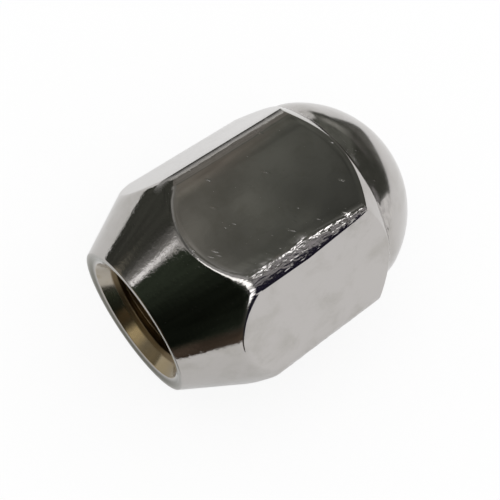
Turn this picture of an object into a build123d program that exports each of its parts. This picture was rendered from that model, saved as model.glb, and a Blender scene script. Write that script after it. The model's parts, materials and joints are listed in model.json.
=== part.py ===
from build123d import *
from math import atan2, cos, degrees, radians, tan
import os

# Closed-end wheel nut with a conical seat, forged and turned in one piece and plated all over.
# It lies on one flat. +X runs along the thread from the open end to the dome, +Z is up, and the
# origin is under its middle, on the surface that it lies on. Lengths are in millimetres, angles in
# degrees, and inside the functions x is measured from the open end's face.

# Hexagonal grip
across_flats = 21.0
grip_length = 22.8             # open end's face to the foot of the dome
grip_edge_radius = 1.8         # the six long edges, rounded by forging
chamfer_half_angle = 38.0      # turned off the hexagon's corners beside the dome
chamfer_edge_radius = 0.2

# Thread and its mouth
thread_major_diameter = 12.0
thread_pitch = 1.5
thread_flank_angle = 60.0
mouth_margin = 0.3             # how far the countersink's rim stands outside the thread
countersink_angle = 70.0
drill_point_angle = 118.0
crown_thickness = 5.6          # metal between the drill's tip and the top of the dome

# Seat
seat_angle = 60.0              # included, as in the wheel's hole
end_face_width = 1.2           # ring round the mouth, its rounded outer edge included
end_face_land = 0.4            # flat outer part of that ring
end_face_dish = 0.2            # how far the rest of it falls towards the mouth
rim_edge_radius = 0.12
seat_edge_radius = 0.35        # where the seat runs out into the flats

# Dome
dome_step = 0.3                # how far the dome's foot lies inside the flats
dome_drop = 2.1                # how much lower the dome is than a half ball
shoulder_radius = 4.3
crease_radius = 0.12           # hollow between the chamfer and the dome

# Dependent sizes
grip_radius = across_flats / 2
corner_radius = grip_radius / cos(radians(30))
thread_height = thread_pitch / 2 / tan(radians(thread_flank_angle / 2))
bore_radius = thread_major_diameter / 2 - 5 / 8 * thread_height
mouth_radius = thread_major_diameter / 2 + mouth_margin
rim_radius = mouth_radius + end_face_width
dome_radius = grip_radius - dome_step
dome_height = dome_radius - dome_drop
overall_length = grip_length + dome_height
countersink_depth = (mouth_radius - bore_radius) / tan(radians(countersink_angle / 2))
thread_start = end_face_dish + countersink_depth
drill_tip = overall_length - crown_thickness
drill_depth = drill_tip - bore_radius / tan(radians(drill_point_angle / 2))


def dome_profile():
    """Shoulder arc that leaves the foot along the nut, then a crown arc that meets the axis squarely."""
    inner = dome_radius - shoulder_radius
    rise = dome_height - shoulder_radius
    crown_radius = (inner**2 + dome_height**2 - shoulder_radius**2) / (2 * rise)
    shoulder_turn = degrees(atan2(crown_radius - dome_height, inner))
    shoulder = JernArc((grip_length, dome_radius), (1, 0), shoulder_radius, -shoulder_turn)
    crown = TangentArc(shoulder @ 1, (overall_length, 0), tangent=shoulder % 1)
    return shoulder + crown


def outer_profile():
    """End face, seat cone, bar and corner chamfer, up to the foot of the dome."""
    seat_end = (corner_radius - rim_radius) / tan(radians(seat_angle / 2))
    chamfer_run = (corner_radius - dome_radius) / tan(radians(chamfer_half_angle))
    return Polyline(
        (end_face_dish, mouth_radius),
        (0, rim_radius - end_face_land),
        (0, rim_radius),
        (seat_end, corner_radius),
        (grip_length - chamfer_run, corner_radius),
        (grip_length, dome_radius),
    )


def bore_profile():
    """From the top of the dome back along the axis, up the drill's point and out through the mouth."""
    return Polyline(
        (overall_length, 0),
        (drill_tip, 0),
        (drill_depth, bore_radius),
        (thread_start, bore_radius),
        (end_face_dish, mouth_radius),
    )


def rounded(section, corner, radius):
    return fillet(section.vertices().sort_by_distance(corner)[0], radius)


def turned_blank():
    """The nut as a lathe would leave it, bored and round all over."""
    section = make_face(outer_profile() + dome_profile() + bore_profile())
    section = rounded(section, (0, rim_radius), rim_edge_radius)
    section = rounded(section, (grip_length, dome_radius), crease_radius)
    return revolve(section, Axis.X)


def hexagon_bar():
    """Bar with rounded long edges and flats above and below."""
    outline = RegularPolygon(grip_radius, 6, major_radius=False)
    outline = fillet(outline.vertices(), grip_edge_radius)
    return extrude(Plane.YZ * outline, overall_length)


def blended(nut):
    """Rounds the scalloped edges where the seat and the chamfer run out into the hexagon."""
    for low, high, radius in (
        (0, grip_length / 2, seat_edge_radius),
        (grip_length / 2, grip_length, chamfer_edge_radius),
    ):
        curved = nut.edges().filter_by(GeomType.LINE, reverse=True)
        scallops = curved.filter_by(GeomType.CIRCLE, reverse=True).filter_by_position(Axis.X, low, high)
        nut = fillet(scallops, radius)
    return nut


def nut_body():
    nut = blended(turned_blank() & hexagon_bar())
    return Pos(-overall_length / 2, 0, grip_radius) * nut


os.makedirs("parts", exist_ok=True)
export_step(nut_body(), "parts/nut_body.step")
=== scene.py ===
import json
import math
import bpy
import numpy as np
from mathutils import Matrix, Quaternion, Vector, noise

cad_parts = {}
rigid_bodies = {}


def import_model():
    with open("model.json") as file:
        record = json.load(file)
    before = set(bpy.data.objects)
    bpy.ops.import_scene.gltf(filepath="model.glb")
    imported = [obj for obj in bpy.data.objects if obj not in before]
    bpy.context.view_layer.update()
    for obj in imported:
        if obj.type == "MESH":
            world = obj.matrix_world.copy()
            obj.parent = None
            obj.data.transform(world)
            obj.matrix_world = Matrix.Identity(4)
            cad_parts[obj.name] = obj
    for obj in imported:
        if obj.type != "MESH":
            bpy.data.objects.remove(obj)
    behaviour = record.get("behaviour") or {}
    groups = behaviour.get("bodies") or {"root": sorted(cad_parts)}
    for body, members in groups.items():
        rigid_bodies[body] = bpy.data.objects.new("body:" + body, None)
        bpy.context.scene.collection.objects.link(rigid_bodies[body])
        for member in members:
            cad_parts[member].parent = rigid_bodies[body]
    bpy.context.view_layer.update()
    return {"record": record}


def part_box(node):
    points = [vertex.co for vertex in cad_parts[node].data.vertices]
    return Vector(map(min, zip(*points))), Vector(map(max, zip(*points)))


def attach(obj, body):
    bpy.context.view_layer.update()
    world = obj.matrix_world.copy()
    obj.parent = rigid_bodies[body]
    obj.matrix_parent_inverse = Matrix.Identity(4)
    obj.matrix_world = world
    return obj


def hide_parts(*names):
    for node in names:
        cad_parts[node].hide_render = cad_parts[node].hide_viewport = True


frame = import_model()

mm = 0.001
deg = math.pi / 180

# The nut lies on one flat with its thread along X: open end at -X, dome at +X.
# x below is measured from the open end's face, theta round the thread from straight up.

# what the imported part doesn't say by itself; the rest comes from its box and its thread mount
nutShape = {
    "node": "nut_body",
    "mount": "thread",
    "slot": "chrome_plate",
    "sides": 6,
    "gripLength": 22.8 * mm,        # open end's face to the foot of the dome
    "rimRadius": 7.5 * mm,
    "rimEdge": 0.12 * mm,
    "mouthRadius": 6.3 * mm,
    "mouthEdge": 0.1 * mm,
    "endFaceLand": 0.4 * mm,        # flat outer part of the end face
    "endFaceDish": 0.2 * mm,        # how far the rest falls towards the mouth
    "countersinkHalfAngle": 35 * deg,
    "seatHalfAngle": 30 * deg,
    "seatEdge": 0.5 * mm,
    "chamferHalfAngle": 38 * deg,
    "chamferEdge": 0.2 * mm,
    "domeStep": 0.3 * mm,           # how far the dome's foot lies inside the flats
    "creaseRadius": 0.12 * mm,
    "shoulderRadius": 4.3 * mm,
    "crownThickness": 5.6 * mm,
    "drillHalfAngle": 59 * deg,
}

# how finely the surface is divided
skinGrid = {
    "arcColumns": (20, 8, 8, 8, 8, 8),      # over half of each rounded long edge
    "flatColumns": 13,
    "supportGap": 0.05 * mm,        # an extra column just inside each flat keeps the flat flat
    "filletSteps": 6,
    "faceRows": 4,
    "coneRows": 24,
    "seatRows": 9,
    "gripRows": 176,
    "chamferRows": 7,
    "rampRows": 4,
    "shoulderRows": 10,
    "crownRows": 36,
    "boreShare": 3,                 # columns of the skin to each column of the bore
    "rowsPerPitch": 18,
    "plainRows": 4,
    "drillRows": 8,
    "seatBand": 0.62,               # half width of a rounded line's rows, as a share of its radius
    "chamferBand": 0.6,
    "halvings": 40,                 # steps towards the exact radius of the body
    "approaches": 30,               # and of the hexagon in each column
}


def frameSizes():
    low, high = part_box(nutShape["node"])
    mounts = {mount["name"]: mount for mount in frame["record"]["mounts"]}
    size = high - low
    cornerFactor = 1 / math.cos(math.pi / nutShape["sides"])
    sizes = dict(nutShape)
    sizes["openEnd"] = low.x
    sizes["length"] = size.x
    sizes["axisHeight"] = (low.z + high.z) / 2
    sizes["gripRadius"] = size.z / 2
    # the width over the rounded corners gives the rounding of the long edges
    sizes["edgeRadius"] = (sizes["gripRadius"] * cornerFactor - size.y / 2) / (cornerFactor - 1)
    sizes["boreRadius"] = mounts[nutShape["mount"]]["dims"]["r_mm"] * mm
    sizes["domeRadius"] = sizes["gripRadius"] - nutShape["domeStep"]
    sizes["domeHeight"] = sizes["length"] - nutShape["gripLength"]
    sizes["drillTip"] = sizes["length"] - nutShape["crownThickness"]
    return sizes


nut = frameSizes()
sectorHalf = math.pi / nut["sides"]


# which long edge is nearest, and the angle from its middle
def nearestEdge(theta):
    steps = np.round((theta + sectorHalf) / (2 * sectorHalf))
    return steps.astype(int) % nut["sides"], theta + sectorHalf - steps * 2 * sectorHalf


# the first long edge grows sharper towards the dome
edgeTaper = {
    "start": 13.5 * mm,
    "end": 20.6 * mm,
    "radius": 0.5 * mm,
}


def edgeRadius(x, theta):
    index, _ = nearestEdge(theta)
    along = np.clip((x - edgeTaper["start"]) / (edgeTaper["end"] - edgeTaper["start"]), 0, 1)
    return nut["edgeRadius"] + (edgeTaper["radius"] - nut["edgeRadius"]) * along * (index == 0)


# distance outside the rounded hexagon, and the angle from the radius to the normal there
def hexagonDistance(x, theta, radius):
    rounding = edgeRadius(x, theta)
    arcCentre = nut["gripRadius"] - rounding
    local = (theta + sectorHalf) % (2 * sectorHalf) - sectorHalf
    overX = radius * np.cos(local) - arcCentre
    overY = np.abs(radius * np.sin(local)) - arcCentre * math.tan(sectorHalf)
    onArc = overY > 0
    distance = np.where(onArc, np.hypot(overX, overY), overX) - rounding
    normalAngle = np.where(onArc, np.arctan2(overY, overX), 0)
    return distance, normalAngle - np.abs(local)


# the corners where a long edge meets the seat are worn rounder than the rest of that line
cornerWear = {
    "radius": 2.0 * mm,
    "width": 1.2 * mm,
}


def seatEdgeRadius(theta):
    _, away = nearestEdge(theta)
    share = np.exp(-(away * nut["gripRadius"] / cornerWear["width"]) ** 2)
    return nut["seatEdge"] + (cornerWear["radius"] - nut["seatEdge"]) * share


# distance outside the edge between two surfaces that a ball of this radius has rounded
def blended(first, second, cosine, radius):
    a = first + radius
    b = second + radius
    ball = np.sqrt(np.maximum(a * a + b * b - 2 * a * b * cosine, 0) / (1 - cosine**2))
    onBall = (a > cosine * b) & (b > cosine * a)
    return np.where(onBall, ball, np.maximum(a, b)) - radius


def seatRadius(x):
    return nut["rimRadius"] + x * math.tan(nut["seatHalfAngle"])


def chamferRadius(x):
    return nut["domeRadius"] + (nut["gripLength"] - x) * math.tan(nut["chamferHalfAngle"])


def bodyDistance(x, theta, radius):
    hexagon, tilt = hexagonDistance(x, theta, radius)
    seatCos, chamferCos = math.cos(nut["seatHalfAngle"]), math.cos(nut["chamferHalfAngle"])
    seat = (radius - seatRadius(x)) * seatCos
    chamfer = (radius - chamferRadius(x)) * chamferCos
    atSeat = blended(seat, hexagon, seatCos * np.cos(tilt), seatEdgeRadius(theta))
    atChamfer = blended(chamfer, hexagon, chamferCos * np.cos(tilt), nut["chamferEdge"])
    return np.maximum(atSeat, atChamfer)


def bodyRadius(x, theta):
    low = np.full(len(theta), nut["boreRadius"])
    high = np.full(len(theta), 2 * nut["gripRadius"])
    for _ in range(skinGrid["halvings"]):
        middle = (low + high) / 2
        outside = bodyDistance(x, theta, middle) > 0
        high = np.where(outside, middle, high)
        low = np.where(outside, low, middle)
    return (low + high) / 2


def arcAngles(count):
    # from the border of a flat to the middle of the rounded edge beside it
    turns = np.linspace(0, sectorHalf, count + 1)
    centre = nut["gripRadius"] - nut["edgeRadius"]
    arcX = centre + nut["edgeRadius"] * np.cos(turns)
    arcY = centre * math.tan(sectorHalf) + nut["edgeRadius"] * np.sin(turns)
    return np.arctan2(arcY, arcX)


def columnAngles():
    # close together round the six long edges, wide apart on the flats
    reach = (nut["gripRadius"] - nut["edgeRadius"]) * math.tan(sectorHalf) - skinGrid["supportGap"]
    flat = np.arctan2(np.linspace(-reach, reach, skinGrid["flatColumns"] + 2), nut["gripRadius"])
    counts = skinGrid["arcColumns"]
    sides = []
    for k in range(nut["sides"]):
        before = arcAngles(counts[k])
        after = arcAngles(counts[(k + 1) % nut["sides"]])
        side = np.concatenate([-before[::-1], flat, after[:-1]])
        sides.append(side + 2 * sectorHalf * k)
    return np.concatenate(sides)


# the arc that rounds a corner of a profile, as points from the side of before to the side of after
def filletPoints(before, corner, after, radius):
    p, c, q = (np.array(point, float) for point in (before, corner, after))
    u = (p - c) / np.linalg.norm(p - c)
    v = (q - c) / np.linalg.norm(q - c)
    half = math.acos(u @ v) / 2
    centre = c + (u + v) / np.linalg.norm(u + v) * radius / math.sin(half)
    first = c + u * radius / math.tan(half) - centre
    last = c + v * radius / math.tan(half) - centre
    turn = math.pi - 2 * half
    points = []
    for s in np.linspace(0, 1, skinGrid["filletSteps"] + 1):
        weights = math.sin((1 - s) * turn), math.sin(s * turn)
        points.append(tuple(centre + (first * weights[0] + last * weights[1]) / math.sin(turn)))
    return points


def betweenPoints(start, end, count):
    start, end = np.array(start), np.array(end)
    return [tuple(start + (end - start) * s) for s in np.linspace(0, 1, count + 1)[1:-1]]


def domePoints(startX):
    # a small shoulder arc that runs on into the crown's large one
    inner = nut["domeRadius"] - nut["shoulderRadius"]
    height, shoulder = nut["domeHeight"], nut["shoulderRadius"]
    crown = (inner**2 + height**2 - shoulder**2) / (2 * (height - shoulder))
    crownX = nut["length"] - crown
    footTurn = math.asin((startX - nut["gripLength"]) / shoulder)
    crownTurn = math.atan2(nut["gripLength"] - crownX, inner)
    points = []
    for turn in np.linspace(footTurn, crownTurn, skinGrid["shoulderRows"] + 1)[1:]:
        points.append((nut["gripLength"] + shoulder * math.sin(turn), inner + shoulder * math.cos(turn)))
    for turn in np.linspace(crownTurn, math.pi / 2, skinGrid["crownRows"] + 1)[1:-1]:
        points.append((crownX + crown * math.sin(turn), crown * math.cos(turn)))
    return points


# the two ends of the dished part of the end face
def mouthPoint():
    return (nut["endFaceDish"], nut["mouthRadius"])


def landPoint():
    return (0, nut["rimRadius"] - nut["endFaceLand"])


# how the pressed flats fall away a little towards their borders
flatRoll = {
    "depth": 0.03 * mm,
    "width": 0.7 * mm,
    "crispBorders": (0,),           # long edges that the flat before them meets without falling away
}


# every row of the skin as x, radius and how far it is turned, from the mouth to the dome's pole
def skinRows(theta):
    full = np.ones(len(theta))
    rows = []

    def addRound(points):
        rows.extend((x * full, radius * full, full) for x, radius in points)

    def addBody(start, end, shares, turned):
        for share, cut in zip(shares, turned):
            x = start + (end - start) * share
            fromEdge = corner * np.abs(np.sin(away)) - edgeRadius(x, theta) * math.sin(sectorHalf)
            fromEdge = np.where(crisp, nut["gripRadius"], np.maximum(fromEdge, 0))
            fromBorder = np.minimum(fromEdge, np.minimum(x - seatRun, chamferRun - x))
            fall = np.clip(1 - fromBorder / flatRoll["width"], 0, 1) ** 2 * flatRoll["depth"]
            rows.append((x, bodyRadius(x, theta) - fall * (1 - cut), cut * full))

    def inner(count):
        return np.linspace(0, 1, count + 1)[1:-1]

    # where the seat and the chamfer run out into the hexagon, for each column
    corner = np.full(len(theta), nut["gripRadius"])
    domeCorner = corner
    for _ in range(skinGrid["approaches"]):
        corner = corner - hexagonDistance(0, theta, corner)[0]
        domeCorner = domeCorner - hexagonDistance(nut["gripLength"], theta, domeCorner)[0]
    seatRun = (corner - nut["rimRadius"]) / math.tan(nut["seatHalfAngle"])
    chamferRun = nut["gripLength"] - (domeCorner - nut["domeRadius"]) / math.tan(nut["chamferHalfAngle"])
    edge, away = nearestEdge(theta)
    crisp = np.isin(edge, flatRoll["crispBorders"]) & (away < 0)
    seatBand = skinGrid["seatBand"] * seatEdgeRadius(theta)
    chamferBand = skinGrid["chamferBand"] * nut["chamferEdge"]
    step = 1 * mm                   # any short way along the profile

    addRound(betweenPoints(mouthPoint(), landPoint(), skinGrid["faceRows"])[1:])
    addRound([landPoint()])
    rim = filletPoints(landPoint(), (0, nut["rimRadius"]), (step, seatRadius(step)), nut["rimEdge"])
    addRound(rim)
    shares = inner(skinGrid["coneRows"])
    addBody(rim[-1][0], seatRun - seatBand, shares, np.ones(len(shares)))
    shares = np.linspace(0, 1, skinGrid["seatRows"])
    addBody(seatRun - seatBand, seatRun + seatBand, shares, 1 - shares)
    shares = inner(skinGrid["gripRows"])
    addBody(seatRun + seatBand, chamferRun - chamferBand, shares, np.zeros(len(shares)))
    shares = np.linspace(0, 1, skinGrid["chamferRows"])
    addBody(chamferRun - chamferBand, chamferRun + chamferBand, shares, shares)
    foot = (nut["gripLength"], nut["domeRadius"])
    before = (foot[0] - step, chamferRadius(foot[0] - step))
    crease = filletPoints(before, foot, (foot[0] + step, foot[1]), nut["creaseRadius"])
    shares = inner(skinGrid["rampRows"])
    addBody(chamferRun + chamferBand, crease[0][0], shares, np.ones(len(shares)))
    addRound(crease)
    addRound(domePoints(crease[-1][0]))
    return rows


threadShape = {
    "pitch": 1.5 * mm,
    "majorRadius": 6.0 * mm,
    "crestWidth": 0.375 * mm,
    "flankAngle": 30 * deg,
    "plainEnd": 1.4 * mm,           # drilled but not threaded, before the drill's cone
    "runIn": 1.1 * mm,              # over which the thread comes up behind the countersink
    "runOut": 2.2 * mm,             # over which it fades away again
}


def threadRadius(x, theta, startX, endX):
    # flat crests at the bore, flanks out to the major radius; it winds left-handed, and adding theta
    # here instead of taking it away would wind it right-handed
    depth = threadShape["majorRadius"] - nut["boreRadius"]
    phase = (x / threadShape["pitch"] - theta / (2 * math.pi)) % 1
    fromCrest = np.abs(phase - 0.5) * threadShape["pitch"] - threadShape["crestWidth"] / 2
    cut = np.clip(fromCrest / math.tan(threadShape["flankAngle"]), 0, depth)
    fade = np.clip(min((x - startX) / threadShape["runIn"], (endX - x) / threadShape["runOut"]), 0, 1)
    return nut["boreRadius"] + np.minimum(cut, depth * fade)


# from the mouth down the countersink, the thread and the plain bore to the drill's cone
def boreRows(theta):
    full = np.ones(len(theta))
    mouth = mouthPoint()
    sinkTan = math.tan(nut["countersinkHalfAngle"])
    sinkEnd = (mouth[0] + (mouth[1] - nut["boreRadius"]) / sinkTan, nut["boreRadius"])
    drillDepth = nut["drillTip"] - nut["boreRadius"] / math.tan(nut["drillHalfAngle"])
    threadEnd = drillDepth - threadShape["plainEnd"]
    edge = filletPoints(landPoint(), mouth, sinkEnd, nut["mouthEdge"])
    rows = [(x * full, radius * full) for x, radius in edge]
    step = threadShape["pitch"] / skinGrid["rowsPerPitch"]
    for x in np.arange(edge[-1][0] + step, threadEnd, step):
        sink = mouth[1] - (x - mouth[0]) * sinkTan
        rows.append((x * full, np.maximum(threadRadius(x, theta, sinkEnd[0], threadEnd), sink)))
    for x in np.linspace(threadEnd, drillDepth, skinGrid["plainRows"]):
        rows.append((x * full, nut["boreRadius"] * full))
    drillFoot = (drillDepth, nut["boreRadius"])
    for x, radius in betweenPoints(drillFoot, (nut["drillTip"], 0), skinGrid["drillRows"]):
        rows.append((x * full, radius * full))
    return rows


# rows of x and radius as points of the nut on its flat
def gridPoints(rows, theta):
    x = np.array([row[0] for row in rows])
    radius = np.array([row[1] for row in rows])
    across = radius * np.sin(theta)
    up = nut["axisHeight"] + radius * np.cos(theta)
    return np.stack([nut["openEnd"] + x, across, up], axis=-1)


# rough forging that shows through the plating on the long edges, one strength for each edge in turn
edgeWear = {
    "strengths": (1.0, 0.25, 0.55, 0.7, 0.6, 0.75),
    "darkBands": (0.0, 1.0, 0.2, 0.4, 0.3, 0.0),    # a darker band over the outer part of each rounded edge, up to the next flat
    "depth": 0.042 * mm,
    "grainSize": 0.42 * mm,
    "stretch": 3.0,                 # grains are this much longer along the nut
    "layers": (0.7, 2.1, 3),        # how quickly finer layers weaken, how much finer each is, how many
    "fullHeight": 0.35 * mm,        # height above the flats from which an edge is fully worn
    "borderSharpness": 2.5,         # higher for a shorter fade at the sides of the worn band
    "turnedFade": 0.7,              # higher for less wear where the lathe has begun to cut
    "reach": 1.12,                  # of half the rounded edge
    "lowerReach": 0.75,             # on the side before it, which on the first edge is below
    "reachOnSeat": 4.2 * mm,        # and along the line between the seat and the flats
    "lowerReachOnSeat": 1.3 * mm,
    "fringe": 0.22 * mm,            # a fainter fringe of it on the flats beside that line
    "fringeShare": 0.3,
    "darkBandWidth": 0.95 * mm,
    "darkBandSharpness": 1.6,           # higher for a fuller band
    "thinPlatingAndShadeOnSeat": 0.14,             # how far the seat takes the end face's thin plating and painted shade
}


# for each point of the skin, from 0 to 1: how worn or turned it is, how far it has the dark band, how far
# it has the end face's thin plating and painted shade, and whether it is on the crown or the seat
def skinMasks(points, theta, turned):
    x = points[..., 0] - nut["openEnd"]
    radius = np.hypot(points[..., 1], points[..., 2] - nut["axisHeight"])
    edge, away = nearestEdge(theta)
    sideways = radius * np.sin(away)
    strengths = np.array(edgeWear["strengths"])[edge]
    darkBands = np.array(edgeWear["darkBands"])[edge]

    arcEnd = edgeRadius(x, theta) * math.sin(sectorHalf)
    onHexagon = np.clip((radius - nut["gripRadius"]) / edgeWear["fullHeight"], 0, 1)
    edgeReach = np.where(sideways > 0, edgeWear["reach"], edgeWear["lowerReach"])
    across = np.abs(sideways) / arcEnd / edgeReach
    onEdge = np.clip((1 - across) * edgeWear["borderSharpness"], 0, 1)
    onEdge = onEdge * onHexagon * (1 - turned) ** edgeWear["turnedFade"]
    nearSeat = x < nut["gripLength"] / 2
    insideSeat = np.maximum(seatRadius(x) - radius, 0)
    beside = np.exp(-insideSeat / edgeWear["fringe"]) * edgeWear["fringeShare"]
    onSeatLine = np.maximum(4 * turned, beside) * (1 - turned) * nearSeat   # 1 in the line's middle
    seatReach = np.where(sideways > 0, edgeWear["reachOnSeat"], edgeWear["lowerReachOnSeat"])
    onSeatLine = onSeatLine * np.exp(-(sideways / seatReach) ** 2)

    ramp = (sideways - arcEnd + edgeWear["darkBandWidth"]) / edgeWear["darkBandWidth"]
    ramp = np.clip(edgeWear["darkBandSharpness"] * ramp, 0, 1)
    # the dark band ends sharply at the border of the flat, and includes that column
    darkBand = ramp * (sideways < arcEnd + 0.01 * mm) * (1 - turned)
    # the end face has thin plating and is darkened as painted shade for the shadowed paper it mirrors
    nearMouth = x < nut["endFaceDish"] + nut["rimEdge"]
    thinPlatingAndShade = np.clip((nut["rimRadius"] - radius) / nut["rimEdge"], 0, 1) * nearMouth
    onSeat = turned * nearSeat
    return {
        "worn": np.maximum(onEdge, onSeatLine) * strengths,
        "turned": turned,
        "darkBand": darkBand * darkBands,
        "crown": np.clip((x - nut["gripLength"]) / nut["domeStep"], 0, 1),
        "seat": onSeat,
        "thinPlatingAndShade": np.maximum(thinPlatingAndShade, onSeat * edgeWear["thinPlatingAndShadeOnSeat"]),
    }


# unit normals of a grid of points that closes round the nut
def surfaceNormals(points):
    across = np.roll(points, -1, 1) - np.roll(points, 1, 1)
    normals = np.cross(across, np.gradient(points, axis=0))
    return normals / np.maximum(np.linalg.norm(normals, axis=-1, keepdims=True), 1e-12)


def roughened(points, mask):
    # lifts and sinks the skin along the long edges
    result = points.copy()
    normals = surfaceNormals(points)
    for row, column in zip(*np.nonzero(mask > 0.001)):
        place = Vector(points[row, column]) / edgeWear["grainSize"]
        place.x /= edgeWear["stretch"]
        height = noise.fractal(place, *edgeWear["layers"]) * edgeWear["depth"] * mask[row, column]
        result[row, column] += normals[row, column] * height
    return result


# where the oily dirt of the thread begins on the countersink
boreDirt = {
    "start": 1.25 * mm,
    "fade": 0.14 * mm,
}


def buildNut():
    theta = columnAngles()
    boreTheta = theta[::skinGrid["boreShare"]]
    rows = skinRows(theta)
    smooth = gridPoints(rows, theta)
    turned = np.array([row[2] for row in rows])
    masks = skinMasks(smooth, theta, turned)
    low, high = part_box(nutShape["node"])
    skin = np.clip(roughened(smooth, masks["worn"]), low, high)    # nothing stands outside its box
    bore = gridPoints(boreRows(boreTheta), boreTheta)
    columns, boreColumns = len(theta), len(boreTheta)
    pole = (nut["openEnd"] + nut["length"], 0, nut["axisHeight"])
    tip = (nut["openEnd"] + nut["drillTip"], 0, nut["axisHeight"])
    points = np.concatenate([skin.reshape(-1, 3), bore.reshape(-1, 3), [pole, tip]])
    skinCount = skin.shape[0] * columns
    poleIndex = len(points) - 2
    faces, isBore = [], []

    for row in range(skin.shape[0] - 1):
        for column in range(columns):
            here, beside = row * columns + column, row * columns + (column + 1) % columns
            faces.append((here, here + columns, beside + columns, beside))
    last = (skin.shape[0] - 1) * columns
    for column in range(columns):
        faces.append((last + column, poleIndex, last + (column + 1) % columns))
    # the end face joins each column of the bore to several of the skin
    share = skinGrid["boreShare"]
    for column in range(boreColumns):
        inner, innerNext = skinCount + column, skinCount + (column + 1) % boreColumns
        outer = [(share * column + k) % columns for k in range(share + 1)]
        half = share // 2 + 1
        for k in range(share):
            faces.append((inner if k < half else innerNext, outer[k], outer[k + 1]))
            if k == half - 1:
                faces.append((inner, outer[half], innerNext))
    isBore.extend([0] * len(faces))
    for row in range(bore.shape[0] - 1):
        for column in range(boreColumns):
            here = skinCount + row * boreColumns + column
            beside = skinCount + row * boreColumns + (column + 1) % boreColumns
            faces.append((here, beside, beside + boreColumns, here + boreColumns))
    last = skinCount + (bore.shape[0] - 1) * boreColumns
    for column in range(boreColumns):
        faces.append((last + column, last + (column + 1) % boreColumns, poleIndex + 1))
    isBore.extend([1] * (len(faces) - len(isBore)))

    mesh = bpy.data.meshes.new("lugNut")
    mesh.from_pydata([tuple(point) for point in points], [], faces)
    mesh.polygons.foreach_set("use_smooth", [True] * len(faces))
    mesh.polygons.foreach_set("material_index", isBore)
    # and how far inside the thread each point of the bore is
    depth = (points[skinCount:, 0] - nut["openEnd"] - boreDirt["start"]) / boreDirt["fade"]
    masks["inside"] = np.zeros(masks["worn"].shape)
    for name, values in masks.items():
        inside = np.clip(depth, 0, 1) if name == "inside" else np.zeros(len(depth))
        attribute = mesh.attributes.new(name, "FLOAT", "POINT")
        attribute.data.foreach_set("value", np.concatenate([values.ravel(), inside]))
    mesh.update()
    piece = bpy.data.objects.new("lugNut", mesh)
    bpy.context.scene.collection.objects.link(piece)
    triangles = sum(len(face) - 2 for face in faces)
    print("nut body:", len(points), "points,", triangles, "triangles")
    return piece


# places a node and sets or links its inputs, and returns it
def addNode(tree, kind, inputs=(), **settings):
    node = tree.nodes.new("ShaderNode" + kind)
    for name, value in settings.items():
        setattr(node, name, value)
    for key, value in dict(inputs).items():
        if isinstance(value, bpy.types.NodeSocket):
            tree.links.new(value, node.inputs[key])
        else:
            node.inputs[key].default_value = value
    return node


def addMath(tree, operation, *values):
    return addNode(tree, "Math", enumerate(values), operation=operation).outputs[0]


def addVectorMath(tree, operation, *values):
    node = addNode(tree, "VectorMath", enumerate(values), operation=operation)
    return node.outputs["Value" if operation == "DOT_PRODUCT" else "Vector"]


# turns one range of values into another; sockets 1 to 4 are the ends of the two ranges
def addRange(tree, value, low, high, first=0.0, last=1.0, kind="LINEAR"):
    inputs = {"Value": value, 1: low, 2: high, 3: first, 4: last}
    return addNode(tree, "MapRange", inputs, interpolation_type=kind).outputs["Result"]


def addGroup(tree, group, inputs):
    return addNode(tree, "Group", inputs, node_tree=group)


def newGroup(name, inputs, outputs):
    tree = bpy.data.node_groups.new(name, "ShaderNodeTree")
    for direction, sockets in (("INPUT", inputs), ("OUTPUT", outputs)):
        for socketName, kind in sockets.items():
            tree.interface.new_socket(socketName, in_out=direction, socket_type="NodeSocket" + kind)
    entry = tree.nodes.new("NodeGroupInput")
    result = tree.nodes.new("NodeGroupOutput")
    return tree, entry.outputs, result.inputs


# how the effects below are drawn; each finish gives its own sizes
effectShape = {
    "grooveSqueeze": (1.0, 0.22, 0.22),     # grooves run on round the axis
    "speckSlant": 50 * deg,                 # specks are short dashes at an angle to the nut
    "speckSqueeze": (0.42, 1.6, 1.0),
    "speckCrowding": 0.35,                  # scale of the noise that thins them out, against their own
    "speckThreshold": 0.46,                 # higher for fewer specks
    "speckLeast": 0.01,                     # keeps a speck's size above zero
    "patchStart": 0.85,                     # noise level from which patches begin at a cover of zero
    "patchBorder": 0.3,                     # further levels over which they fade in
}


# fine grooves that a lathe leaves round the thread's axis
def makeTurnMarks():
    sockets = {"Position": "Vector", "Spacing": "Float"}
    tree, entry, result = newGroup("turnMarks", sockets, {"Height": "Float"})
    finer = addMath(tree, "DIVIDE", 1.0, entry["Spacing"])
    squeezed = addVectorMath(tree, "MULTIPLY", entry["Position"], effectShape["grooveSqueeze"])
    settings = {"Vector": squeezed, "Scale": finer, "Detail": 2.5, "Roughness": 0.6}
    marks = addNode(tree, "TexNoise", settings)
    tree.links.new(marks.outputs["Fac"], result["Height"])
    return tree


# lumps and wrinkles at several scales, as in forged or plated skin
def makeForgedSkin():
    sockets = {"Position": "Vector", "Grain": "Float", "Stretch": "Float"}
    tree, entry, result = newGroup("forgedSkin", sockets, {"Height": "Float"})
    finer = addMath(tree, "DIVIDE", 1.0, entry["Grain"])
    alongX = addMath(tree, "DIVIDE", 1.0, entry["Stretch"])
    shape = addNode(tree, "CombineXYZ", {0: alongX, 1: 1.0, 2: 1.0}).outputs[0]
    squeezed = addVectorMath(tree, "MULTIPLY", entry["Position"], shape)
    settings = {"Vector": squeezed, "Scale": finer, "Detail": 3.0, "Roughness": 0.55, "Distortion": 0.6}
    lumps = addNode(tree, "TexNoise", settings)
    tree.links.new(lumps.outputs["Fac"], result["Height"])
    return tree


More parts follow.
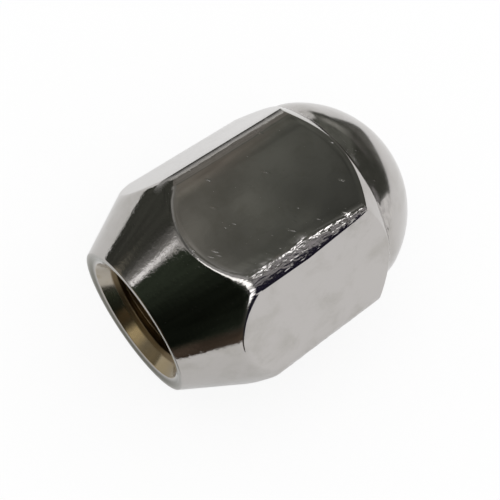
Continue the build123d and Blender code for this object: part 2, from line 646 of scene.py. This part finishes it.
# small separate specks and scratches
def makeSpecks():
    sockets = {"Position": "Vector", "Spacing": "Float", "Size": "Float"}
    tree, entry, result = newGroup("specks", sockets, {"Mask": "Float"})
    finer = addMath(tree, "DIVIDE", 1.0, entry["Spacing"])
    turning = {"Vector": entry["Position"], "Angle": effectShape["speckSlant"]}
    slanted = addNode(tree, "VectorRotate", turning, rotation_type="Z_AXIS").outputs[0]
    squeezed = addVectorMath(tree, "MULTIPLY", slanted, effectShape["speckSqueeze"])
    spots = addNode(tree, "TexVoronoi", {"Vector": squeezed, "Scale": finer, "Randomness": 1.0})
    coarser = addMath(tree, "MULTIPLY", finer, effectShape["speckCrowding"])
    crowd = addNode(tree, "TexNoise", {"Vector": entry["Position"], "Scale": coarser, "Detail": 1.0})
    thinned = addMath(tree, "SUBTRACT", crowd.outputs["Fac"], effectShape["speckThreshold"])
    thinned = addMath(tree, "MAXIMUM", thinned, effectShape["speckLeast"])
    size = addMath(tree, "MULTIPLY", entry["Size"], thinned)
    mask = addRange(tree, spots.outputs["Distance"], 0.0, size, 1.0, 0.0, kind="SMOOTHSTEP")
    tree.links.new(mask, result["Mask"])
    return tree


# soft uneven patches, for film and stain
def makePatches():
    sockets = {"Position": "Vector", "Size": "Float", "Cover": "Float"}
    tree, entry, result = newGroup("patches", sockets, {"Mask": "Float"})
    finer = addMath(tree, "DIVIDE", 1.0, entry["Size"])
    settings = {"Scale": finer, "Detail": 5.0, "Roughness": 0.62, "Distortion": 0.3}
    cloud = addNode(tree, "TexNoise", {"Vector": entry["Position"], **settings})
    low = addMath(tree, "SUBTRACT", effectShape["patchStart"], entry["Cover"])
    high = addMath(tree, "ADD", low, effectShape["patchBorder"])
    mask = addRange(tree, cloud.outputs["Fac"], low, high, kind="SMOOTHSTEP")
    tree.links.new(mask, result["Mask"])
    return tree


turnMarks = makeTurnMarks()
forgedSkin = makeForgedSkin()
specks = makeSpecks()
patches = makePatches()


def newMaterial(name):
    material = bpy.data.materials.new(name)
    material.use_nodes = True
    tree = material.node_tree
    tree.nodes.clear()
    return material, tree


# sockets 6 and 7 and output 2 of a Mix node are its colours
def blend(tree, factor, first, second):
    return addNode(tree, "Mix", {"Factor": factor, 6: first, 7: second}, data_type="RGBA").outputs[2]


def bumped(tree, height, depth, normal=None):
    inputs = {"Height": height, "Distance": depth, "Strength": 1.0}
    if normal:
        inputs["Normal"] = normal
    return addNode(tree, "Bump", inputs).outputs["Normal"]


chromeFinish = {
    "colour": (0.482, 0.462, 0.448, 1),
    "filmColour": (0.415, 0.397, 0.375, 1),
    "thinPlatingAndShadeColour": (0.12, 0.116, 0.088, 1),      # thin plating on the end face, made darker as painted shade for the shadowed paper it mirrors
    "darkBandColour": (0.03, 0.027, 0.022, 1),
    "roughness": 0.035,
    "filmRoughness": 0.07,
    "filmSize": 3.2 * mm,           # patches of a thin greasy film
    "filmCover": 0.42,
    "wornRoughness": 0.13,
    "crownRoughness": 0.1,
    "peelGrain": 1.1 * mm,          # shallow waves all over the plating
    "peelStretch": 1.4,
    "peelDepth": 0.0022 * mm,
    "markSpacing": 0.3 * mm,        # the lathe's grooves on the seat, the chamfer and the dome
    "markDepth": 0.0032 * mm,
    "chatterGrain": 0.3 * mm,       # marks of a shaking tool on the seat
    "chatterDepth": 0.0065 * mm,
    "wornGrain": 0.34 * mm,         # wrinkles of the worn edges
    "wornStretch": 3.0,
    "wornDepth": 0.032 * mm,
    "speckSpacing": 0.8 * mm,       # dust and fine scratches
    "speckSize": 1.5,
    "speckDepth": 0.013 * mm,
    "speckRoughness": 0.3,
    "speckSlopes": (0.8, 0.95),     # upward part of the normal at which they begin and are full
    "darkBandBreaks": 0.6 * mm,         # size of the gaps in the dark band
    "darkBandCover": 0.72,
}


def makeChrome():
    finish = chromeFinish
    material, tree = newMaterial("chromePlate")
    position = addNode(tree, "TexCoord").outputs["Object"]

    def mask(name):
        return addNode(tree, "Attribute", attribute_name=name).outputs["Fac"]

    def effect(group, output, **sizes):
        return addGroup(tree, group, {"Position": position, **sizes}).outputs[output]

    def bumpedWhere(where, height, depth, normal):
        return bumped(tree, addMath(tree, "MULTIPLY", height, where), depth, normal)

    worn = mask("worn")
    film = effect(patches, "Mask", Size=finish["filmSize"], Cover=finish["filmCover"])
    # a dark, dull, non-metal band over the outer part of some rounded edges, broken by gaps
    breaks = effect(patches, "Mask", Size=finish["darkBandBreaks"], Cover=finish["darkBandCover"])
    darkBand = addMath(tree, "MULTIPLY", mask("darkBand"), breaks)
    colour = blend(tree, film, finish["colour"], finish["filmColour"])
    # the end face's thin plating, darkened as painted shade for the shadowed paper it mirrors, and a little
    # of it on the seat
    colour = blend(tree, mask("thinPlatingAndShade"), colour, finish["thinPlatingAndShadeColour"])
    colour = blend(tree, darkBand, colour, finish["darkBandColour"])

    # dust and fine scratches are only on what faces up
    facing = addNode(tree, "NewGeometry").outputs["True Normal"]
    upward = addNode(tree, "SeparateXYZ", {0: facing}).outputs[2]
    upward = addRange(tree, upward, *finish["speckSlopes"])
    dull = effect(specks, "Mask", Spacing=finish["speckSpacing"], Size=finish["speckSize"])
    dull = addMath(tree, "MULTIPLY", dull, upward)

    gloss = addRange(tree, film, 0.0, 1.0, finish["roughness"], finish["filmRoughness"])
    gloss = addMath(tree, "MULTIPLY_ADD", worn, finish["wornRoughness"], gloss)
    gloss = addMath(tree, "MULTIPLY_ADD", mask("crown"), finish["crownRoughness"], gloss)
    gloss = addMath(tree, "MULTIPLY_ADD", dull, finish["speckRoughness"], gloss)
    gloss = addMath(tree, "MAXIMUM", gloss, darkBand)

    peel = effect(forgedSkin, "Height", Grain=finish["peelGrain"], Stretch=finish["peelStretch"])
    normal = bumped(tree, peel, finish["peelDepth"])
    marks = effect(turnMarks, "Height", Spacing=finish["markSpacing"])
    normal = bumpedWhere(mask("turned"), marks, finish["markDepth"], normal)
    chatter = effect(forgedSkin, "Height", Grain=finish["chatterGrain"], Stretch=1.0)
    normal = bumpedWhere(mask("seat"), chatter, finish["chatterDepth"], normal)
    wrinkles = effect(forgedSkin, "Height", Grain=finish["wornGrain"], Stretch=finish["wornStretch"])
    normal = bumpedWhere(worn, wrinkles, finish["wornDepth"], normal)
    normal = bumped(tree, dull, finish["speckDepth"], normal)

    shader = addNode(tree, "BsdfPrincipled", {
        "Base Color": colour,
        "Metallic": addMath(tree, "SUBTRACT", 1.0, darkBand),
        "Roughness": gloss,
        "Normal": normal,
    })
    addNode(tree, "OutputMaterial", {"Surface": shader.outputs["BSDF"]})
    return material


boreFinish = {
    "steelColour": (0.43, 0.39, 0.33, 1),
    "stainColour": (0.28, 0.225, 0.135, 1),
    "dirtColour": (0.17, 0.125, 0.07, 1),
    "roughness": 0.17,
    "dirtRoughness": 0.38,
    "stainSize": 1.6 * mm,
    "stainCover": 0.45,
    "stainStrength": 0.4,
    "oilFrom": 3 * mm,              # along Y, from clean to fully stained
    "oilTo": -4 * mm,
    "markSpacing": 0.12 * mm,
    "markDepth": 0.004 * mm,
}


def makeBoreSteel():
    finish = boreFinish
    material, tree = newMaterial("boreSteel")
    position = addNode(tree, "TexCoord").outputs["Object"]
    inside = addNode(tree, "Attribute", attribute_name="inside").outputs["Fac"]
    # oil has run to one side of the countersink
    sideways = addNode(tree, "SeparateXYZ", {0: position}).outputs[1]
    runs = addRange(tree, sideways, finish["oilFrom"], finish["oilTo"])
    sizes = {"Size": finish["stainSize"], "Cover": finish["stainCover"]}
    stain = addGroup(tree, patches, {"Position": position, **sizes}).outputs["Mask"]
    stain = addMath(tree, "MULTIPLY", stain, finish["stainStrength"])
    stained = addMath(tree, "MAXIMUM", stain, runs)
    colour = blend(tree, stained, finish["steelColour"], finish["stainColour"])
    colour = blend(tree, inside, colour, finish["dirtColour"])
    gloss = addRange(tree, inside, 0.0, 1.0, finish["roughness"], finish["dirtRoughness"])
    marks = addGroup(tree, turnMarks, {"Position": position, "Spacing": finish["markSpacing"]})
    shader = addNode(tree, "BsdfPrincipled", {
        "Base Color": colour,
        "Metallic": 1.0,
        "Roughness": gloss,
        "Normal": bumped(tree, marks.outputs["Height"], finish["markDepth"]),
    })
    addNode(tree, "OutputMaterial", {"Surface": shader.outputs["BSDF"]})
    return material


nutPiece = buildNut()
nutPiece.data.materials.append(makeChrome())
nutPiece.data.materials.append(makeBoreSteel())
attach(nutPiece, "root")
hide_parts(nutShape["node"])
print("finishes: chrome plate and bore steel")


# pale paper on a table, and white all round for everything but the plating
paper = {
    "size": 2.0,
    "colour": (1, 1, 1, 1),
    "glowToEye": 0.85,              # share of plain white, the rest keeps the nut's soft shadow
    "glowInGloss": 0.0,             # mirrors see the sheet as it is lit
}


def stagePiece(name, points, faces, material):
    mesh = bpy.data.meshes.new(name)
    mesh.from_pydata(points, [], faces)
    mesh.materials.append(material)
    piece = bpy.data.objects.new(name, mesh)
    bpy.context.scene.collection.objects.link(piece)
    return piece


def makePaper():
    material, tree = newMaterial("palePaper")
    path = addNode(tree, "LightPath").outputs
    eye = addMath(tree, "MULTIPLY", path["Is Camera Ray"], paper["glowToEye"])
    mirror = addMath(tree, "MAXIMUM", path["Is Glossy Ray"], path["Is Transmission Ray"])
    share = addMath(tree, "MULTIPLY_ADD", mirror, paper["glowInGloss"], eye)
    sheet = addNode(tree, "BsdfDiffuse", {"Color": paper["colour"]})
    glow = addNode(tree, "Emission", {"Strength": 1.0})
    mix = addNode(tree, "MixShader", {0: share, 1: sheet.outputs["BSDF"], 2: glow.outputs["Emission"]})
    addNode(tree, "OutputMaterial", {"Surface": mix.outputs["Shader"]})
    return material


def buildPaper():
    half = paper["size"] / 2
    corners = [(-half, -half, 0), (half, -half, 0), (half, half, 0), (-half, half, 0)]
    stagePiece("paper", corners, [(0, 1, 2, 3)], makePaper())


def buildWorld():
    world = bpy.data.worlds.new("whiteStudio")
    bpy.context.scene.world = world
    world.use_nodes = True
    background = world.node_tree.nodes["Background"]
    background.inputs["Color"].default_value = (1, 1, 1, 1)
    background.inputs["Strength"].default_value = 1.0


# The room that the plating mirrors: a dark tent round the nut, with lights and panels painted on it.
# Only reflections see it. Directions are from the nut: turn from +X towards +Y, rise from level.
tent = {
    "topRadius": 600 * mm,
    "footRadius": 260 * mm,         # how far out the tent's foot stands, so how far reflections see the paper; nearer in these directions
    # where the foot comes nearer, reflections see the dark cloth close to the nut instead of paper
    "nearEnds": (
        {"turn": 18, "width": 29, "fade": 29, "distance": 70 * mm},
        {"turn": 105, "width": 60, "fade": 60, "distance": 107 * mm},
        {"turn": -130, "width": 60, "fade": 60, "distance": 82 * mm},
        {"turn": -82, "width": 25, "fade": 4, "distance": 81 * mm},
        {"turn": -106, "width": 11, "fade": 6, "distance": 58 * mm},
        {"turn": -164, "width": 19, "fade": 6, "distance": 27 * mm},
    ),
    "columns": 360,
    "rows": 40,
    "rowBias": 1.5,                 # rows lie closer together near the paper
    "spreadRise": 45 * deg,         # from level up to here the tent widens to its top's radius
    "colour": (0.068, 0.07, 0.06, 1),
    "cloudScale": 13.0,             # uneven light on the cloth
    "cloudRange": (0.3, 0.7),       # of the noise, turned into these shades
    "cloudShades": (0.72, 1.28),
}

# What is painted on the tent, each later panel over the earlier ones. Turn, rise, half the width and
# height, and tilt are in degrees; soft is the share of the panel that its border fades over.
roomPanels = {
    "wall": {"turn": 36, "rise": 42, "half": (24, 44), "soft": 0.35, "colour": (0.145, 0.15, 0.132)},
    "dimWall": {"turn": 20, "rise": 58, "half": (9, 12), "soft": 1.0, "colour": (0.075, 0.078, 0.07)},
    "paleWall": {"turn": 56, "rise": 66, "half": (12, 14), "soft": 1.0, "colour": (0.215, 0.208, 0.185)},
    "warmWall": {"turn": 49, "rise": 57, "half": (7, 7), "soft": 1.0, "colour": (0.23, 0.21, 0.18)},
    "wallFoot": {"turn": 10, "rise": 17, "half": (17, 12), "soft": 1.0, "colour": (0.13, 0.128, 0.118)},
    "skirting": {"turn": 10, "rise": 0, "half": (23, 9), "soft": 0.7, "colour": (0.17, 0.168, 0.155)},
    "wallGlow": {"turn": 33, "rise": 15, "half": (18, 10), "soft": 0.7, "colour": (0.34, 0.34, 0.315)},
    "upperWall": {"turn": 95, "rise": 58, "half": (24, 16), "soft": 0.8, "colour": (0.36, 0.36, 0.345)},
    "curtain": {"turn": 66, "rise": 36, "half": (12, 23), "soft": 0.3, "colour": (0.23, 0.22, 0.2)},
    "ceiling": {"turn": 0, "rise": 90, "half": (22, 22), "soft": 0.6, "colour": (0.5, 0.5, 0.5)},
    "dimLight": {"turn": 70, "rise": 4, "half": (14, 14), "soft": 0.3, "colour": (0.6, 0.59, 0.57)},
    "sideLight": {"turn": 57, "rise": 2, "half": (8, 18), "soft": 0.15, "colour": (0.85, 0.85, 0.84)},
    "greyWall": {"turn": -60, "rise": 44, "half": (17, 25), "soft": 0.5, "colour": (0.42, 0.405, 0.42)},
    "paperWall": {"turn": -45, "rise": 1, "half": (24, 18), "tilt": -40, "soft": 0.1,
                  "colour": (0.93, 0.93, 0.92)},
    "navyCloth": {"turn": -81, "rise": -4, "half": (25, 18), "soft": 0.1, "colour": (0.02, 0.018, 0.034)},
    "navyFold": {"turn": -78, "rise": 24, "half": (17, 18), "soft": 0.15, "colour": (0.02, 0.018, 0.034)},
    "window": {"turn": 150, "rise": 42, "half": (19, 30), "soft": 1.0, "colour": (0.56, 0.55, 0.54)},
    "windowEdge": {"turn": 146.5, "rise": 37, "half": (4, 9), "soft": 1.0, "colour": (1.5, 1.5, 1.52)},
    "greenCloth": {"turn": -164, "rise": 20, "half": (40, 37), "soft": 0.05, "colour": (0.045, 0.058, 0.04)},
    "blackCloth": {"turn": -154, "rise": 18, "half": (47, 42), "soft": 0.6, "colour": (0.008, 0.01, 0.007)},
    "brownHem": {"turn": -124, "rise": -6, "half": (22, 15), "soft": 0.5, "colour": (0.088, 0.065, 0.048)},
    "brownShelf": {"turn": -161, "rise": 14, "half": (14, 16), "soft": 0.4, "colour": (0.12, 0.085, 0.045)},
    "lowGlow": {"turn": 148, "rise": 10, "half": (24, 17), "soft": 0.3, "colour": (0.34, 0.31, 0.25)},
    "sillGlow": {"turn": 161, "rise": 28, "half": (12, 8), "soft": 1.0, "colour": (0.75, 0.66, 0.48)},
    "brassGlow": {"turn": 173, "rise": 30, "half": (17, 7), "soft": 1.0, "colour": (1.15, 0.97, 0.62)},
    "doorLight": {"turn": -102, "rise": 24.5, "half": (12, 9), "soft": 0.25, "colour": (3.0, 3.0, 3.1)},
    "highWindow": {"turn": -112, "rise": 55, "half": (15, 11), "soft": 0.3, "colour": (3.2, 3.2, 3.2)},
    "ceilingStrip": {"turn": -160, "rise": 65, "half": (18, 12), "soft": 0.4, "colour": (2.4, 2.4, 2.4)},
    "lampGlow": {"turn": -5, "rise": 65, "half": (10, 14), "soft": 1.0, "colour": (0.7, 0.7, 0.7)},
    "lamp": {"turn": -6, "rise": 64, "half": (6, 6), "soft": 0.4, "colour": (4.5, 4.5, 4.6)},
}


def directionOf(turn, rise):
    return Vector((math.cos(rise) * math.cos(turn), math.cos(rise) * math.sin(turn), math.sin(rise)))


# a rounded panel with a soft border in the direction Centre, its half sizes along two tangents
def makePanel():
    sockets = {name: "Vector" for name in ("Direction", "Centre", "Across", "Upward")}
    sockets.update({name: "Float" for name in ("Half Width", "Half Height", "Softness")})
    tree, entry, result = newGroup("roomPanel", sockets, {"Mask": "Float"})

    def cubedShare(tangent, half):
        away = addVectorMath(tree, "DOT_PRODUCT", entry["Direction"], entry[tangent])
        share = addMath(tree, "ABSOLUTE", addMath(tree, "DIVIDE", away, entry[half]))
        return addMath(tree, "POWER", share, 3.0)

    shares = addMath(tree, "ADD", cubedShare("Across", "Half Width"), cubedShare("Upward", "Half Height"))
    reach = addMath(tree, "POWER", shares, 1 / 3)
    inner = addMath(tree, "SUBTRACT", 1.0, entry["Softness"])
    mask = addRange(tree, reach, inner, 1.0, 1.0, 0.0, kind="SMOOTHSTEP")
    ahead = addVectorMath(tree, "DOT_PRODUCT", entry["Direction"], entry["Centre"])
    front = addMath(tree, "GREATER_THAN", ahead, 0.0)
    tree.links.new(addMath(tree, "MULTIPLY", mask, front), result["Mask"])
    return tree


def makeTentCloth():
    material, tree = newMaterial("tentCloth")
    panel = makePanel()
    position = addNode(tree, "NewGeometry").outputs["Position"]
    fromNut = addVectorMath(tree, "SUBTRACT", position, (0, 0, nut["axisHeight"]))
    direction = addVectorMath(tree, "NORMALIZE", fromNut)
    colour = tent["colour"]
    for look in roomPanels.values():
        turn, rise = look["turn"] * deg, look["rise"] * deg
        halfWidth, halfHeight = look["half"]
        centre = directionOf(turn, rise)
        spin = Quaternion(centre, look.get("tilt", 0) * deg)
        mask = addGroup(tree, panel, {
            "Direction": direction,
            "Centre": centre,
            "Across": spin @ directionOf(turn + 90 * deg, 0),
            "Upward": spin @ directionOf(turn, rise + 90 * deg),
            "Half Width": math.sin(halfWidth * deg),
            "Half Height": math.sin(halfHeight * deg),
            "Softness": look["soft"],
        })
        colour = blend(tree, mask.outputs["Mask"], colour, (*look["colour"], 1))
    cloud = addNode(tree, "TexNoise", {"Vector": direction, "Scale": tent["cloudScale"], "Detail": 1.5})
    shade = addRange(tree, cloud.outputs["Fac"], *tent["cloudRange"], *tent["cloudShades"])
    colour = addVectorMath(tree, "MULTIPLY", colour, shade)
    glow = addNode(tree, "Emission", {"Color": colour, "Strength": 1.0})
    addNode(tree, "OutputMaterial", {"Surface": glow.outputs["Emission"]})
    material.cycles.emission_sampling = "NONE"
    return material


def paperReach(turn):
    nearest = tent["footRadius"]
    for end in tent["nearEnds"]:
        away = abs((turn / deg - end["turn"] + 180) % 360 - 180)
        share = min(max((end["width"] - away) / end["fade"], 0), 1)
        share = share * share * (3 - 2 * share)
        nearest = min(nearest, tent["footRadius"] + (end["distance"] - tent["footRadius"]) * share)
    return nearest


def buildTent():
    columns, rows = tent["columns"], tent["rows"]
    points, faces = [], []
    for row in range(rows):
        for column in range(columns):
            turn = 2 * math.pi * column / columns
            foot = paperReach(turn)
            lowest = -math.atan2(nut["axisHeight"], foot)
            rise = lowest + (math.pi / 2 - lowest) * (row / rows) ** tent["rowBias"]
            spread = min(max(rise / tent["spreadRise"], 0), 1)
            radius = foot / math.cos(lowest) + (tent["topRadius"] - foot) * spread**2
            points.append(directionOf(turn, rise) * radius + Vector((0, 0, nut["axisHeight"])))
    points.append(Vector((0, 0, tent["topRadius"])))
    for row in range(rows - 1):
        for column in range(columns):
            here, beside = row * columns + column, row * columns + (column + 1) % columns
            faces.append((here, here + columns, beside + columns, beside))
    last = (rows - 1) * columns
    for column in range(columns):
        faces.append((last + column, len(points) - 1, last + (column + 1) % columns))
    piece = stagePiece("tent", points, faces, makeTentCloth())
    piece.visible_camera = False
    piece.visible_diffuse = False
    piece.visible_transmission = False
    piece.visible_shadow = False


buildPaper()
buildWorld()
buildTent()
print("studio: paper, white world and tent")


cameraSetup = {
    "place": (-32.1 * mm, -20.6 * mm, 87.6 * mm),
    "aim": (-1.97 * mm, -0.51 * mm, 10.5 * mm),
    "roll": 19.6 * deg,
    "lens": 63.0,
    "nearest": 5 * mm,
}


def buildCamera():
    data = bpy.data.cameras.new("camera")
    data.lens = cameraSetup["lens"]
    data.clip_start = cameraSetup["nearest"]
    camera = bpy.data.objects.new("camera", data)
    camera.location = cameraSetup["place"]
    sight = Vector(cameraSetup["aim"]) - Vector(cameraSetup["place"])
    look = sight.to_track_quat("-Z", "Y")
    camera.rotation_mode = "QUATERNION"
    camera.rotation_quaternion = look @ Quaternion((0, 0, 1), cameraSetup["roll"])
    bpy.context.scene.collection.objects.link(camera)
    bpy.context.scene.camera = camera


buildCamera()
print("camera: placed")
bpy.context.scene.view_settings.view_transform = "Standard"
